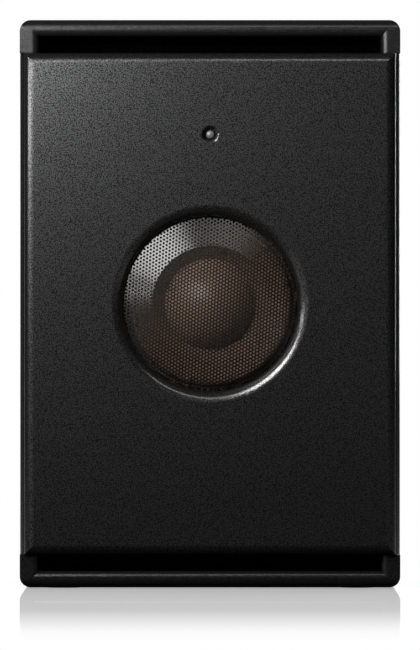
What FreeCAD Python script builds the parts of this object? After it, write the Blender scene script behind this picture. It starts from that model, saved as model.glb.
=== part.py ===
import FreeCAD, Part
import math
import os

# Every size is in millimetres. Width runs along X, height along Z.
# Depth runs along Y from the cabinet's front plane at 0 towards the rear.
# The finished pieces are shifted so that the origin is below the middle of the whole.

# Cabinet shell and its boards
cabinet_width = 370.0
cabinet_height = 552.0
cabinet_depth = 400.0
side_wall = 18.5
cap_wall = 16.0
corner_radius = 11.0
rear_edge_radius = 3.0
rim_radius = 18.5
rear_board = 18.0
slot_height = 16.2
shelf_thickness = 12.0
shelf_depth = 250.0
brace_front = 196.0
brace_thickness = 16.0
brace_border_side = 62.0
brace_border_end = 72.0
brace_window_radius = 30.0
pad_thickness = 25.0
soft_gap = 0.3

# Port frames
frame_thickness = 12.0
frame_edge_radius = 9.0
frame_mouth_radius = 6.3
frame_gap = 0.4

# Front baffle
baffle_thickness = 22.0
baffle_margin = 4.4
baffle_edge_radius = 9.5
opening_radius = 84.9
opening_round = 11.2

# Perforated grille and the ring that clamps it
grille_edge_depth = 12.5
sheet_thickness = 1.0
grille_radius = 84.2
grille_flange_radius = 93.4
grille_shoulder_radius = 56.5
grille_skirt = 4.5
grille_rise = 11.0
grille_crown = 1.5
grille_seat_clearance = 0.3
perforation_pitch = 14.0
perforation_radius = 4.2
perforation_border = 3.0

# Status light
light_height = 164.6
well_radius = 7.6
well_depth = 10.0
well_mouth_width = 1.2
well_mouth_depth = 0.6
holder_radius = 5.0
holder_wall = 1.0
holder_nut_radius = 7.5
holder_nut_thickness = 2.0
lens_proud = 5.2
lens_length = 15.0
lens_crown = 1.4
lamp_radius = 2.4
lamp_length = 3.5
lamp_board_size = 20.0
board_thickness = 1.6
fit_gap = 0.1

# Driver
gasket_thickness = 3.0
gasket_inner_radius = 100.0
gasket_outer_radius = 110.5
flange_radius = 111.0
flange_inner_radius = 93.0
flange_thickness = 5.0
basket_wall = 4.5
basket_top_radius = 102.0
basket_base_radius = 72.0
basket_depth = 55.0
basket_base_thickness = 5.0
basket_base_bore = 42.0
basket_windows = 6
window_width = 62.0
window_front = 6.0
window_length = 28.0
spider_seat_depth = 39.0
spider_seat_thickness = 3.0
spider_seat_bore = 66.0
roll_radius = 6.5
roll_centre_radius = 85.0
surround_thickness = 1.2
surround_lip = 6.5
surround_cone_lip = 4.5
cone_rim_clearance = 0.5
cone_thickness = 1.3
cone_depth = 32.0
cap_radius = 44.0
cap_sphere_radius = 48.0
cap_thickness = 0.8
former_radius = 36.5
former_wall = 0.5
former_front = 30.0
former_length = 54.0
winding_thickness = 1.6
winding_length = 22.0
winding_tail = 2.0
spider_thickness = 0.8
spider_waves = 5
spider_wave_height = 2.4
spider_collar = 2.5
spider_lip = 5.0
top_plate_radius = 66.0
top_plate_thickness = 10.0
coil_clearance = 1.1
magnet_radius = 70.0
magnet_bore = 44.0
magnet_thickness = 20.0
yoke_radius = 64.0
yoke_thickness = 10.0
pole_clearance = 1.8
vent_radius = 9.0
driver_screw_count = 8
driver_screw_circle = 106.5
driver_screw_radius = 2.0
driver_screw_head_radius = 4.0
driver_screw_head = 3.0
driver_screw_grip = 12.0
screw_clearance = 0.2
tag_board_width = 26.0
tag_board_height = 6.5
tag_board_inset = 1.2
tag_width = 4.8
tag_thickness = 0.8
tag_length = 12.0
tag_spacing = 13.0

# Rubber feet
foot_radius = 16.0
foot_pocket_depth = 3.0
foot_proud = 1.0
foot_inset = 42.0
foot_clearance = 0.3
foot_screw_radius = 1.75
foot_screw_head_radius = 4.0
foot_screw_head = 1.8
foot_head_recess = 2.5
foot_screw_length = 12.0

# Amplifier plate on the rear
plate_width = 272.0
plate_height = 342.0
plate_thickness = 3.0
plate_corner = 6.0
plate_gasket = 2.0
plate_overlap = 18.0
plate_screw_inset = 8.0
plate_screw_rows = 4
plate_screw_radius = 1.75
plate_screw_head_radius = 3.6
plate_screw_head = 2.4
plate_screw_length = 16.0
sink_margin = 24.0
sink_height = 140.0
sink_base = 5.0
sink_centre = 82.0
fin_height = 20.0
fin_thickness = 2.6
fin_count = 19

# Amplifier inside
transformer_radius = 50.0
transformer_bore = 18.0
transformer_height = 42.0
transformer_round = 9.0
transformer_pad = 3.0
washer_radius = 30.0
washer_thickness = 3.0
bolt_radius = 3.0
bolt_head_radius = 5.5
bolt_head = 4.0
circuit_margin = 8.0
circuit_height = 120.0
circuit_centre = -68.0
standoff_length = 30.0
standoff_radius = 3.0
standoff_inset = 6.0
capacitor_radius = 15.0
capacitor_height = 34.0
capacitor_round = 2.0
capacitor_spread = 44.0

# Controls and sockets on the plate, from its centre
control_row = -20.0
socket_row = -76.0
control_inset = 51.0
knob_spacing = 45.0
inlet_inset = 50.0
socket_inset = 44.0
inlet_lead = 58.0
knob_radius = 9.0
knob_top_radius = 7.6
knob_length = 15.0
knob_lift = 2.6
knob_line_width = 1.4
knob_line_depth = 0.8
shaft_seat_depth = 9.0
shaft_radius = 3.0
shaft_gap = 0.05
shaft_length = 20.0
pot_bushing_radius = 4.6
pot_bushing_proud = 2.0
pot_body_size = 16.0
pot_body_depth = 10.0
socket_flange_width = 26.0
socket_flange_height = 31.0
socket_flange_thickness = 2.2
socket_flange_corner = 4.0
socket_body_radius = 11.8
socket_body_depth = 18.0
socket_bore = 9.6
socket_bore_depth = 14.0
socket_core_radius = 7.4
pin_count = 3
pin_first_turn = 30.0
pin_circle = 3.9
pin_radius = 1.2
pin_length = 11.0
pin_hole_gap = 0.3
inlet_flange_width = 48.0
inlet_flange_height = 26.0
inlet_flange_thickness = 3.0
inlet_body_width = 28.0
inlet_body_height = 20.5
inlet_body_depth = 21.0
inlet_cavity_width = 24.4
inlet_cavity_height = 16.6
inlet_cavity_depth = 15.0
inlet_cavity_chamfer = 4.0
blade_width = 2.0
blade_height = 4.0
blade_length = 11.0
blade_spread = 7.0
blade_rise = 2.0
fuse_cap_radius = 7.6
fuse_cap_height = 5.0
fuse_body_radius = 5.8
fuse_body_depth = 26.0
fuse_slot_width = 1.6
fuse_slot_depth = 1.4
bezel_width = 15.0
bezel_height = 21.0
bezel_thickness = 2.0
switch_body_width = 13.0
switch_body_height = 19.0
switch_body_depth = 16.0
rocker_width = 10.4
rocker_radius = 7.7
rocker_crown = 1.6
rocker_tilt = 8.0
rocker_back = 5.0
rocker_clearance = 0.3
bushing_radius = 4.0
bushing_proud = 7.0
bushing_nut_radius = 5.5
bushing_nut_thickness = 2.2
toggle_body_width = 8.0
toggle_body_height = 13.0
toggle_body_depth = 10.0
lever_ball_radius = 2.0
lever_root_radius = 1.1
lever_tip_radius = 1.7
lever_length = 15.0
lever_swing = 12.0
lever_pivot = 2.0
lever_gap = 0.35
panel_gap = 0.2

# Speaker cable from the circuit board to the driver's tags
cable_radius = 2.5
cable_clearance = 4.0
cable_bend = 22.0
cable_slack = 88.0

# Working sizes that follow from the ones above
reach = 5.0
shortest_edge = 1.0
half_width = cabinet_width / 2
inner_half = half_width - side_wall
floor_z = cap_wall
ceiling_z = cabinet_height - cap_wall
centre_z = cabinet_height / 2
baffle_top = ceiling_z - slot_height
baffle_bottom = floor_z + slot_height
shelf_under = baffle_top - shelf_thickness
shelf_over = baffle_bottom + shelf_thickness
baffle_half = half_width - baffle_margin
baffle_face = -baffle_thickness
rear_inside = cabinet_depth - rear_board
flange_front = gasket_thickness
flange_back = flange_front + flange_thickness
basket_base_back = flange_front + basket_depth + basket_base_thickness
grille_seat = baffle_face + grille_edge_depth
grille_slope = grille_rise / (grille_radius - grille_shoulder_radius)
grille_foot = grille_seat - grille_skirt
grille_front = grille_foot - grille_rise - grille_crown
cone_rim_radius = roll_centre_radius - roll_radius - surround_thickness / 2 - cone_rim_clearance
cone_lip_radius = cone_rim_radius - surround_cone_lip
cone_neck_radius = former_radius + fit_gap
former_back = former_front + former_length
magnet_front = basket_base_back + top_plate_thickness
magnet_back = magnet_front + magnet_thickness
plate_in = cabinet_depth + plate_gasket
plate_out = plate_in + plate_thickness
sink_out = plate_out + sink_base + fin_height
circuit_back = plate_in - standoff_length
sink_width = plate_width - 2 * sink_margin
circuit_width = plate_width - 2 * plate_overlap - 2 * circuit_margin
level_place = control_inset - plate_width / 2
crossover_place = level_place + knob_spacing
phase_place = crossover_place + knob_spacing
switch_place = plate_width / 2 - inlet_inset
inlet_place = switch_place
fuse_place = (phase_place + switch_place) / 2
first_socket = socket_inset - plate_width / 2
socket_spacing = (inlet_place - inlet_lead - first_socket) / 3
input_places = (first_socket, first_socket + socket_spacing)
output_places = (first_socket + 2 * socket_spacing, first_socket + 3 * socket_spacing)
front_most = min(baffle_face, grille_front)
depth_shift = -(front_most + sink_out) / 2
across = FreeCAD.Vector(1, 0, 0)
deep = FreeCAD.Vector(0, 1, 0)
up = FreeCAD.Vector(0, 0, 1)


def vec(x, d, z):
    return FreeCAD.Vector(x, d, z)


def box(x0, x1, d0, d1, z0, z1):
    return Part.makeBox(x1 - x0, d1 - d0, z1 - z0, vec(x0, d0, z0))


def block(x, z, width, height, d0, d1):
    return box(x - width / 2, x + width / 2, d0, d1, z - height / 2, z + height / 2)


def rod(radius, d0, d1, x=0.0, z=centre_z):
    return Part.makeCylinder(radius, d1 - d0, vec(x, d0, z), deep)


def post(radius, z0, z1, x, d):
    return Part.makeCylinder(radius, z1 - z0, vec(x, d, z0), up)


def ring(outer, inner, d0, d1, x=0.0, z=centre_z):
    return rod(outer, d0, d1, x, z).cut(rod(inner, d0 - reach, d1 + reach, x, z))


def turned(edges, x=0.0, z=centre_z):
    # edges are drawn as radius and depth beside an axis along the depth
    face = Part.Face(Part.Wire(edges))
    solid = face.revolve(vec(0, 0, 0), deep, 360)
    solid.translate(vec(x, 0, z))
    return solid


def line(a, b):
    return Part.LineSegment(vec(a[0], a[1], 0), vec(b[0], b[1], 0)).toShape()


def arc(a, middle, b):
    points = [vec(p[0], p[1], 0) for p in (a, middle, b)]
    return Part.Arc(*points).toShape()


def outline(points):
    closed = list(points) + [points[0]]
    return [line(a, b) for a, b in zip(closed, closed[1:])]


def prism_up(edges, z0, z1):
    # edges are drawn across and deep, then raised
    solid = Part.Face(Part.Wire(edges)).extrude(vec(0, 0, z1 - z0))
    solid.translate(vec(0, 0, z0))
    return solid


def prism_across(edges, x0, x1):
    # edges are drawn as height and depth, then drawn out across the width
    solid = Part.Face(Part.Wire(edges)).extrude(vec(0, 0, x1 - x0))
    solid.rotate(vec(0, 0, 0), deep, -90)
    solid.translate(vec(x1, 0, 0))
    return solid


def edges_along(shape, direction, test):
    chosen = []
    for edge in shape.Edges:
        if len(edge.Vertexes) < 2:
            continue
        run = edge.Vertexes[1].Point - edge.Vertexes[0].Point
        parallel = abs(run.dot(direction)) > run.Length - fit_gap
        if run.Length > shortest_edge and parallel and test(edge.CenterOfMass):
            chosen.append(edge)
    return chosen


def around(shape, count, x=0.0, z=centre_z, start=0.0):
    copies = []
    for step in range(count):
        copy = shape.copy()
        copy.rotate(vec(x, 0, z), deep, start + 360.0 * step / count)
        copies.append(copy)
    return copies


def rounded_block(x, z, width, height, d0, d1, radius):
    slab = block(x, z, width, height, d0, d1)
    return slab.makeFillet(radius, edges_along(slab, deep, lambda p: True))


def mirrored_up(shape):
    return shape.mirror(vec(0, 0, centre_z), up)


def mirrored_across(shape):
    return shape.mirror(vec(0, 0, 0), across)


def foot_places():
    return [(sx * (half_width - foot_inset), d)
            for sx in (-1, 1) for d in (foot_inset, cabinet_depth - foot_inset)]


def driver_screw_place():
    return vec(driver_screw_circle, 0, centre_z)


def driver_screw_angle():
    return 180.0 / driver_screw_count


def driver_screw_holes(radius, d0, d1):
    place = driver_screw_place()
    hole = rod(radius, d0, d1, place.x, place.z)
    return Part.makeCompound(around(hole, driver_screw_count, start=driver_screw_angle()))


def plate_screw_places():
    edge_x = plate_width / 2 - plate_screw_inset
    edge_z = plate_height / 2 - plate_screw_inset
    row_step = 2 * edge_z / (plate_screw_rows - 1)
    rows = [centre_z - edge_z + row * row_step for row in range(plate_screw_rows)]
    places = [(side * edge_x, z) for side in (-1, 1) for z in rows]
    return places + [(0.0, rows[0]), (0.0, rows[-1])]


def plate_screw_holes(radius, d0, d1):
    return Part.makeCompound([rod(radius, d0, d1, x, z) for x, z in plate_screw_places()])


# Cabinet

def rim_cutter():
    # only the part of the large round that shows beside the baffle
    corner = box(baffle_half, half_width, 0, rim_radius, baffle_bottom, baffle_top)
    return corner.cut(post(rim_radius, baffle_bottom, baffle_top, half_width - rim_radius, rim_radius))


def cabinet_shell():
    outer = box(-half_width, half_width, 0, cabinet_depth, 0, cabinet_height)
    outer = outer.makeFillet(corner_radius, edges_along(outer, deep, lambda p: True))
    rear_loop = [e for e in outer.Edges if e.BoundBox.YMin > cabinet_depth - rear_edge_radius / 2]
    outer = outer.makeFillet(rear_edge_radius, rear_loop)
    shell = outer.cut(box(-inner_half, inner_half, -reach, cabinet_depth + reach, floor_z, ceiling_z))
    shell = shell.cut(rim_cutter())
    shell = shell.cut(mirrored_across(rim_cutter()))
    for x, d in foot_places():
        pilot_top = foot_head_recess - foot_proud - foot_screw_head + foot_screw_length
        shell = shell.cut(post(foot_radius + foot_clearance, -reach, foot_pocket_depth, x, d))
        shell = shell.cut(post(foot_screw_radius + fit_gap, 0, pilot_top, x, d))
    return shell


def rear_panel():
    board = box(-inner_half, inner_half, rear_inside, cabinet_depth, floor_z, ceiling_z)
    window = block(0, centre_z, plate_width - 2 * plate_overlap, plate_height - 2 * plate_overlap,
                   rear_inside - reach, cabinet_depth + reach)
    pilots = plate_screw_holes(plate_screw_radius + fit_gap, plate_out - plate_screw_length, cabinet_depth)
    return board.cut(window).cut(pilots)


def window_brace():
    board = box(-inner_half, inner_half, brace_front, brace_front + brace_thickness, shelf_over, shelf_under)
    window = rounded_block(0, centre_z, 2 * (inner_half - brace_border_side),
                           shelf_under - shelf_over - 2 * brace_border_end,
                           brace_front - reach, brace_front + brace_thickness + reach, brace_window_radius)
    return board.cut(window)


def upper_port_shelf():
    return box(-inner_half, inner_half, 0, shelf_depth, shelf_under, baffle_top)


def right_damping_pad():
    return box(inner_half - pad_thickness, inner_half - soft_gap,
               brace_front + brace_thickness + soft_gap, rear_inside - soft_gap,
               shelf_over + soft_gap, shelf_under - soft_gap)


def rubber_feet():
    feet = []
    for x, d in foot_places():
        foot = post(foot_radius, -foot_proud, foot_pocket_depth, x, d)
        foot = foot.cut(post(foot_screw_radius + fit_gap, -reach, foot_pocket_depth + reach, x, d))
        recess = post(foot_screw_head_radius + foot_clearance, -reach, foot_head_recess - foot_proud, x, d)
        feet.append(foot.cut(recess))
    return Part.makeCompound(feet)


def foot_screws():
    screws = []
    for x, d in foot_places():
        seat = foot_head_recess - foot_proud
        head = post(foot_screw_head_radius, seat - foot_screw_head, seat, x, d)
        shank = post(foot_screw_radius, seat - foot_screw_head, seat - foot_screw_head + foot_screw_length, x, d)
        screws.append(head.fuse(shank).removeSplitter())
    return Part.makeCompound(screws)


# Front

def quarter(radius):
    return radius * (1 - math.cos(math.pi / 4))


def slot_mouth():
    # the slot flares towards the front by a quarter round on its ends and its ceiling
    front = -frame_thickness
    inset = quarter(frame_mouth_radius)
    wide = inner_half + frame_mouth_radius
    tall = ceiling_z + frame_mouth_radius
    across_edges = [
        line((-wide, front - reach), (wide, front - reach)),
        line((wide, front - reach), (wide, front)),
        arc((wide, front), (inner_half + inset, front + inset), (inner_half, front + frame_mouth_radius)),
        line((inner_half, front + frame_mouth_radius), (inner_half, reach)),
        line((inner_half, reach), (-inner_half, reach)),
        line((-inner_half, reach), (-inner_half, front + frame_mouth_radius)),
        arc((-inner_half, front + frame_mouth_radius), (-inner_half - inset, front + inset), (-wide, front)),
        line((-wide, front), (-wide, front - reach)),
    ]
    low = baffle_top - reach
    upright_edges = [
        line((low, front - reach), (tall, front - reach)),
        line((tall, front - reach), (tall, front)),
        arc((tall, front), (ceiling_z + inset, front + inset), (ceiling_z, front + frame_mouth_radius)),
        line((ceiling_z, front + frame_mouth_radius), (ceiling_z, reach)),
        line((ceiling_z, reach), (low, reach)),
        line((low, reach), (low, front - reach)),
    ]
    return prism_up(across_edges, low, cabinet_height).common(prism_across(upright_edges, -half_width, half_width))


def upper_port_frame():
    frame = box(-half_width, half_width, -frame_thickness, 0, baffle_top + frame_gap, cabinet_height)
    corners = edges_along(frame, deep, lambda p: p.z > ceiling_z)
    frame = frame.makeFillet(corner_radius, corners)
    edge_low = cabinet_height - frame_edge_radius
    edge_back = frame_edge_radius - frame_thickness
    square = box(-half_width, half_width, -frame_thickness, edge_back, edge_low, cabinet_height)
    bar = Part.makeCylinder(frame_edge_radius, cabinet_width, vec(-half_width, edge_back, edge_low), across)
    return frame.cut(square.cut(bar)).cut(slot_mouth())


def light_place():
    return centre_z + light_height


def front_baffle():
    board = box(-baffle_half, baffle_half, baffle_face, 0, baffle_bottom, baffle_top)
    front_loop = [e for e in board.Edges if e.BoundBox.YMax < baffle_face / 2]
    board = board.makeFillet(baffle_edge_radius, front_loop)
    board = board.cut(rod(opening_radius, baffle_face - reach, reach))
    mouth = [e for e in board.Edges if e.BoundBox.YMax < baffle_face + fit_gap
             and e.Curve.TypeId == "Part::GeomCircle"]
    board = board.makeFillet(opening_round, mouth)
    board = board.cut(rod(grille_flange_radius + grille_seat_clearance, grille_seat, reach))
    well_back = baffle_face + well_depth
    board = board.cut(rod(well_radius, baffle_face - reach, well_back, 0, light_place()))
    well_mouth = Part.makeCone(well_radius + well_mouth_width, well_radius, well_mouth_depth,
                               vec(0, baffle_face, light_place()), deep)
    board = board.cut(well_mouth)
    board = board.cut(rod(holder_radius + fit_gap, well_back - fit_gap, reach, 0, light_place()))
    return board.cut(driver_screw_holes(driver_screw_radius + fit_gap, -driver_screw_grip, reach))


def grille_depth(radius):
    if radius > grille_shoulder_radius:
        return grille_foot - (grille_radius - radius) * grille_slope
    return grille_foot - grille_rise - grille_crown * (1 - (radius / grille_shoulder_radius) ** 2)


def grille_sheet_line(shift):
    # from the rim in the rebate over the skirt and the flank to the crown
    half = grille_shoulder_radius / 2
    return [
        (grille_flange_radius, grille_seat + shift),
        (grille_radius - shift, grille_seat + shift),
        (grille_radius - shift, grille_foot + shift),
        (grille_shoulder_radius, grille_depth(grille_shoulder_radius) + shift),
        (half, grille_depth(half) + shift),
        (0, grille_front + shift),
    ]


def grille_mesh():
    face = grille_sheet_line(0)
    back = grille_sheet_line(sheet_thickness)
    edges = [line(a, b) for a, b in zip(face[:3], face[1:4])]
    edges.append(arc(face[3], face[4], face[5]))
    edges.append(line(face[5], back[5]))
    edges.append(arc(back[5], back[4], back[3]))
    edges += [line(b, a) for a, b in zip(back[2::-1], back[3:0:-1])]
    edges.append(line(back[0], face[0]))
    sheet = turned(edges)
    # a coarse perforation stands for the fine one: as open, in the same staggered rows
    limit = grille_radius - perforation_border - perforation_radius
    row_step = perforation_pitch * math.sqrt(3) / 2
    rows = int(limit / row_step)
    holes = []
    for row in range(-rows, rows + 1):
        offset = perforation_pitch / 2 if row % 2 else 0.0
        count = int(limit / perforation_pitch) + 1
        for column in range(-count, count + 1):
            x = column * perforation_pitch + offset
            z = row * row_step
            if math.hypot(x, z) < limit:
                holes.append(rod(perforation_radius, grille_front - reach, grille_seat + reach, x, centre_z + z))
    return sheet.cut(Part.makeCompound(holes))


def grille_clamp_ring():
    return ring(grille_flange_radius, opening_radius, grille_seat + sheet_thickness, 0)


def status_lens():
    radius = holder_radius - holder_wall - fit_gap
    tip = baffle_face + well_depth - lens_proud
    shoulder = tip + lens_crown
    dome = (radius ** 2 + lens_crown ** 2) / (2 * lens_crown)
    bulge = (radius / 2, tip + dome - math.sqrt(dome ** 2 - (radius / 2) ** 2))
    return turned([
        arc((0, tip), bulge, (radius, shoulder)),
        line((radius, shoulder), (radius, tip + lens_length)),
        line((radius, tip + lens_length), (0, tip + lens_length)),
        line((0, tip + lens_length), (0, tip)),
    ], 0, light_place())


def lens_holder():
    sleeve = rod(holder_radius, baffle_face + well_depth, holder_nut_thickness, 0, light_place())
    nut = rod(holder_nut_radius, 0, holder_nut_thickness, 0, light_place())
    bore = rod(holder_radius - holder_wall, baffle_face, holder_nut_thickness + reach, 0, light_place())
    return sleeve.fuse(nut).cut(bore).removeSplitter()


def lamp_board():
    board = block(0, light_place(), lamp_board_size, lamp_board_size,
                  holder_nut_thickness, holder_nut_thickness + board_thickness)
    lamp = rod(lamp_radius, holder_nut_thickness - lamp_length, holder_nut_thickness, 0, light_place())
    return board.fuse(lamp)


# Driver

def driver_gasket():
    flat = ring(gasket_outer_radius, gasket_inner_radius, 0, gasket_thickness)
    return flat.cut(driver_screw_holes(driver_screw_radius + screw_clearance, -reach, gasket_thickness + reach))


def driver_basket():
    base = flange_front + basket_depth
    body = turned(outline([
        (flange_inner_radius, flange_front), (flange_radius, flange_front), (flange_radius, flange_back),
        (basket_top_radius, flange_back), (basket_base_radius, base), (basket_base_radius, basket_base_back),
        (basket_base_bore, basket_base_back), (basket_base_bore, base),
        (basket_base_radius - basket_wall, base), (basket_top_radius - basket_wall, flange_back),
        (flange_inner_radius, flange_back),
    ]))
    seat = flange_back + spider_seat_depth
    shelf = ring(basket_base_radius + basket_wall / 2, spider_seat_bore, seat, seat + spider_seat_thickness)
    window_back = flange_back + window_front + window_length
    cut_out = box(basket_base_radius - basket_wall, flange_radius + reach, flange_back + window_front, window_back,
                  centre_z - window_width / 2, centre_z + window_width / 2)
    body = body.fuse(shelf).cut(Part.makeCompound(around(cut_out, basket_windows)))
    holes = driver_screw_holes(driver_screw_radius + screw_clearance, 0, flange_back + reach)
    return body.cut(holes).removeSplitter()


def surround():
    # a rubber roll that hangs back between a lip on the basket and a lip on the cone
    lip_front = flange_front - surround_thickness
    outer_roll = roll_radius + surround_thickness / 2
    inner_roll = roll_radius - surround_thickness / 2
    step = math.sqrt(outer_roll ** 2 - surround_thickness ** 2)
    outer_end = roll_centre_radius + outer_roll + surround_lip
    inner_end = cone_lip_radius
    front_hollow = (roll_centre_radius, lip_front + inner_roll)
    back_swell = (roll_centre_radius, lip_front + outer_roll)
    return turned([
        line((outer_end, lip_front), (roll_centre_radius + inner_roll, lip_front)),
        arc((roll_centre_radius + inner_roll, lip_front), front_hollow, (roll_centre_radius - inner_roll, lip_front)),
        line((roll_centre_radius - inner_roll, lip_front), (inner_end, lip_front)),
        line((inner_end, lip_front), (inner_end, flange_front)),
        line((inner_end, flange_front), (roll_centre_radius - step, flange_front)),
        arc((roll_centre_radius - step, flange_front), back_swell, (roll_centre_radius + step, flange_front)),
        line((roll_centre_radius + step, flange_front), (outer_end, flange_front)),
        line((outer_end, flange_front), (outer_end, lip_front)),
    ])


def cone_front(radius):
    slope = cone_depth / (cone_lip_radius - cone_neck_radius)
    return flange_front + (cone_lip_radius - radius) * slope


def cone():
    return turned(outline([
        (cone_rim_radius, flange_front), (cone_lip_radius, flange_front),
        (cone_neck_radius, cone_front(cone_neck_radius)),
        (cone_neck_radius, cone_front(cone_neck_radius) + cone_thickness),
        (cone_lip_radius, flange_front + cone_thickness), (cone_rim_radius, flange_front + cone_thickness),
    ]))


def dust_cap():
    base = cone_front(cap_radius)
    centre = base + math.sqrt(cap_sphere_radius ** 2 - cap_radius ** 2)
    inner_sphere = cap_sphere_radius - cap_thickness
    inner_edge = math.sqrt(inner_sphere ** 2 - (centre - base) ** 2)

    def on_sphere(sphere, radius):
        return radius, centre - math.sqrt(sphere ** 2 - radius ** 2)

    half = cap_radius / 2
    return turned([
        arc((cap_radius, base), on_sphere(cap_sphere_radius, half), on_sphere(cap_sphere_radius, 0)),
        line(on_sphere(cap_sphere_radius, 0), on_sphere(inner_sphere, 0)),
        arc(on_sphere(inner_sphere, 0), on_sphere(inner_sphere, half), (inner_edge, base)),
        line((inner_edge, base), (cap_radius, base)),
    ])


def voice_coil_former():
    return ring(former_radius, former_radius - former_wall, former_front, former_back)


def voice_coil_winding():
    tail = former_back - winding_tail
    return ring(former_radius + winding_thickness, former_radius, tail - winding_length, tail)


def spider():
    seat = flange_back + spider_seat_depth
    inner = former_radius + fit_gap
    first = inner + spider_collar
    last = spider_seat_bore
    step = (last - first) / (2 * spider_waves)
    front = [(inner, seat - spider_thickness), (first, seat - spider_thickness)]
    for wave in range(spider_waves):
        crest = first + (2 * wave + 1) * step
        front.append((crest, seat - spider_thickness - spider_wave_height))
        front.append((crest + step, seat - spider_thickness))
    front.append((last + spider_lip, seat - spider_thickness))
    back = [(radius, depth + spider_thickness) for radius, depth in reversed(front)]
    return turned(outline(front + back))


def top_plate():
    gap_radius = former_radius + winding_thickness + coil_clearance
    return ring(top_plate_radius, gap_radius, basket_base_back, magnet_front)


def ring_magnet():
    return ring(magnet_radius, magnet_bore, magnet_front, magnet_back)


def pole_yoke():
    pole_radius = former_radius - former_wall - pole_clearance
    plate = rod(yoke_radius, magnet_back, magnet_back + yoke_thickness)
    pole = rod(pole_radius, basket_base_back, magnet_back)
    vent = rod(vent_radius, basket_base_back - reach, magnet_back + yoke_thickness + reach)
    return plate.fuse(pole).cut(vent).removeSplitter()


def driver_screws():
    place = driver_screw_place()
    head = rod(driver_screw_head_radius, flange_back, flange_back + driver_screw_head, place.x, place.z)
    shank = rod(driver_screw_radius, -driver_screw_grip, flange_back, place.x, place.z)
    screw = head.fuse(shank).removeSplitter()
    return Part.makeCompound(around(screw, driver_screw_count, start=driver_screw_angle()))


def tag_height():
    half = tag_board_width / 2
    return centre_z + math.sqrt((flange_radius - tag_board_inset) ** 2 - half ** 2) - tag_board_height / 2


def driver_terminals():
    board = block(0, tag_height(), tag_board_width, tag_board_height, flange_back, flange_back + board_thickness)
    tags = []
    for side in (-1, 1):
        tag = block(side * tag_spacing / 2, tag_height(), tag_width, tag_thickness,
                    flange_back + board_thickness, flange_back + board_thickness + tag_length)
        tags.append(tag)
    return board.fuse(tags)


# Amplifier

def place_on_plate(row):
    return centre_z + row


def panel_openings():
    # the holes in the plate for what is mounted in it
    front = plate_in - reach
    back = plate_out + reach
    row = place_on_plate(control_row)
    low = place_on_plate(socket_row)
    holes = [rod(socket_body_radius + panel_gap, front, back, x, low) for x in input_places + output_places]
    holes += [rod(pot_bushing_radius + panel_gap, front, back, x, row) for x in (level_place, crossover_place)]
    holes.append(rod(bushing_radius + panel_gap, front, back, phase_place, row))
    holes.append(rod(fuse_body_radius + panel_gap, front, back, fuse_place, row))
    holes.append(block(switch_place, row, switch_body_width + 2 * panel_gap,
                       switch_body_height + 2 * panel_gap, front, back))
    holes.append(block(inlet_place, low, inlet_body_width + 2 * panel_gap,
                       inlet_body_height + 2 * panel_gap, front, back))
    holes.append(rod(bolt_radius + panel_gap, front, back, 0, place_on_plate(sink_centre)))
    return Part.makeCompound(holes)


def amplifier_plate():
    plate = rounded_block(0, centre_z, plate_width, plate_height, plate_in, plate_out, plate_corner)
    plate = plate.cut(panel_openings())
    return plate.cut(plate_screw_holes(plate_screw_radius + screw_clearance, plate_in - reach, plate_out + reach))


def amplifier_gasket():
    frame = rounded_block(0, centre_z, plate_width, plate_height, cabinet_depth, plate_in, plate_corner)
    window = block(0, centre_z, plate_width - 2 * plate_overlap, plate_height - 2 * plate_overlap,
                   cabinet_depth - reach, plate_in + reach)
    holes = plate_screw_holes(plate_screw_radius + screw_clearance, cabinet_depth - reach, plate_in + reach)
    return frame.cut(window).cut(holes)


def amplifier_screws():
    screws = []
    for x, z in plate_screw_places():
        head = rod(plate_screw_head_radius, plate_out, plate_out + plate_screw_head, x, z)
        head = head.makeFillet(plate_screw_head / 2, [e for e in head.Edges if e.BoundBox.YMin > plate_out])
        shank = rod(plate_screw_radius, plate_out - plate_screw_length, plate_out, x, z)
        screws.append(head.fuse(shank).removeSplitter())
    return Part.makeCompound(screws)


def heat_sink():
    middle = place_on_plate(sink_centre)
    base_out = plate_out + sink_base
    sink = block(0, middle, sink_width, sink_height, plate_out, base_out)
    spacing = (sink_width - fin_thickness) / (fin_count - 1)
    for fin in range(fin_count):
        x = -sink_width / 2 + fin_thickness / 2 + fin * spacing
        sink = sink.fuse(block(x, middle, fin_thickness, sink_height, base_out, sink_out))
    well = rod(bolt_head_radius + panel_gap, plate_out - reach, plate_out + bolt_head + panel_gap, 0, middle)
    return sink.removeSplitter().cut(well)


def transformer_front():
    return plate_in - transformer_pad - transformer_height


def power_transformer():
    middle = place_on_plate(sink_centre)
    body = ring(transformer_radius, transformer_bore, transformer_front(), plate_in - transformer_pad, 0, middle)
    rims = [e for e in body.Edges if e.Curve.TypeId == "Part::GeomCircle"]
    return body.makeFillet(transformer_round, rims)


def transformer_pad_ring():
    return ring(transformer_radius - transformer_round, transformer_bore + transformer_round,
                plate_in - transformer_pad, plate_in, 0, place_on_plate(sink_centre))


def transformer_washer():
    front = transformer_front()
    return ring(washer_radius, bolt_radius + fit_gap, front - washer_thickness, front, 0, place_on_plate(sink_centre))


def transformer_bolt():
    middle = place_on_plate(sink_centre)
    nut_front = transformer_front() - washer_thickness - bolt_head
    shank = rod(bolt_radius, nut_front, plate_out, 0, middle)
    head = rod(bolt_head_radius, plate_out, plate_out + bolt_head, 0, middle)
    nut = rod(bolt_head_radius, nut_front, nut_front + bolt_head, 0, middle)
    return shank.fuse([head, nut]).removeSplitter()


def circuit_board():
    return block(0, place_on_plate(circuit_centre), circuit_width, circuit_height,
                 circuit_back - board_thickness, circuit_back)


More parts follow.
